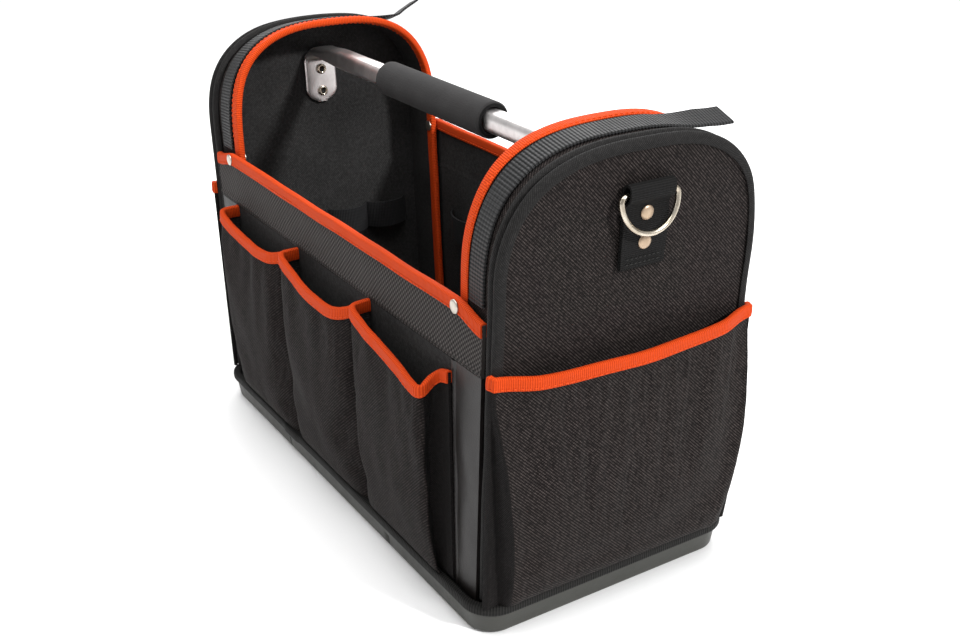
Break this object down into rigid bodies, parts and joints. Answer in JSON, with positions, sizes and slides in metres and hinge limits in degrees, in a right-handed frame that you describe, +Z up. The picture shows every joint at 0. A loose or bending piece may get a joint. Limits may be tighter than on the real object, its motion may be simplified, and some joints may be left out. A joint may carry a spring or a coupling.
{
  "type": "tool bag",
  "caption": "Open-top tool bag with a moulded base tray, arched ends, bellows pockets with bound mouths, D-rings and a fixed steel tube handle with a foam grip.",
  "frame": {"origin": "middle of the tray's underside, on the surface that the bag stands on", "axes": "+Z up, +X along the handle towards the near end, -Y out of the front wall"},
  "size_m": [0.4496, 0.2278, 0.3154],
  "materials": {
    "cloth": "woven",
    "coarse_cloth": "coarse woven",
    "vinyl": "smooth coated",
    "webbing": "ribbed",
    "orange_tape": "ribbed",
    "tray_plastic": "satin",
    "foam": "foam",
    "tube_steel": "polished",
    "nickel": "plated"
  },
  "bodies": {
    "bag": {"base_tray": "tray_plastic", "hem_tape": "webbing", "handle_tube": "tube_steel", "foam_grip": "foam", "loops_far_end": "webbing", "loops_back_wall": "webbing", "end_panel_near": "cloth", "gusset_near": "cloth", "arch_binding_near": "orange_tape", "edge_piping_near": "webbing", "arch_strap_near": "webbing", "end_pocket_near": "cloth", "end_pocket_binding_near": "orange_tape", "ring_tab_near": "webbing", "handle_rivet_near_upper": "nickel", "handle_rivet_near_lower": "nickel", "end_panel_far": "cloth", "gusset_far": "cloth", "arch_binding_far": "orange_tape", "edge_piping_far": "webbing", "arch_strap_far": "webbing", "end_pocket_far": "cloth", "end_pocket_binding_far": "orange_tape", "ring_tab_far": "webbing", "handle_rivet_far_upper": "nickel", "handle_rivet_far_lower": "nickel", "wall_front": "cloth", "rim_band_front": "coarse_cloth", "rim_binding_front": "orange_tape", "pocket_front_1": "cloth", "pocket_binding_front_1": "orange_tape", "pocket_front_2": "cloth", "pocket_binding_front_2": "orange_tape", "pocket_front_3": "cloth", "pocket_binding_front_3": "orange_tape", "corner_panel_front_near": "vinyl", "rim_rivet_front_near": "nickel", "corner_panel_front_far": "vinyl", "rim_rivet_front_far": "nickel", "wall_back": "cloth", "rim_band_back": "coarse_cloth", "rim_binding_back": "orange_tape", "pocket_back_1": "cloth", "pocket_binding_back_1": "orange_tape", "pocket_back_2": "cloth", "pocket_binding_back_2": "orange_tape", "pocket_back_3": "cloth", "pocket_binding_back_3": "orange_tape", "corner_panel_back_near": "vinyl", "rim_rivet_back_near": "nickel", "corner_panel_back_far": "vinyl", "rim_rivet_back_far": "nickel"},
    "ring_near": {"d_ring_near": "nickel"},
    "ring_far": {"d_ring_far": "nickel"}
  },
  "joints": [
    {"name": "near_ring_swing", "type": "hinge", "parent": "bag", "child": "ring_near", "pos_m": [0.21971, 0.004, 0.28], "axis": [0, -1, 0], "range_deg": [0, 150]},
    {"name": "far_ring_swing", "type": "hinge", "parent": "bag", "child": "ring_far", "pos_m": [-0.21971, 0.004, 0.28], "axis": [0, 1, 0], "range_deg": [0, 150]}
  ]
}
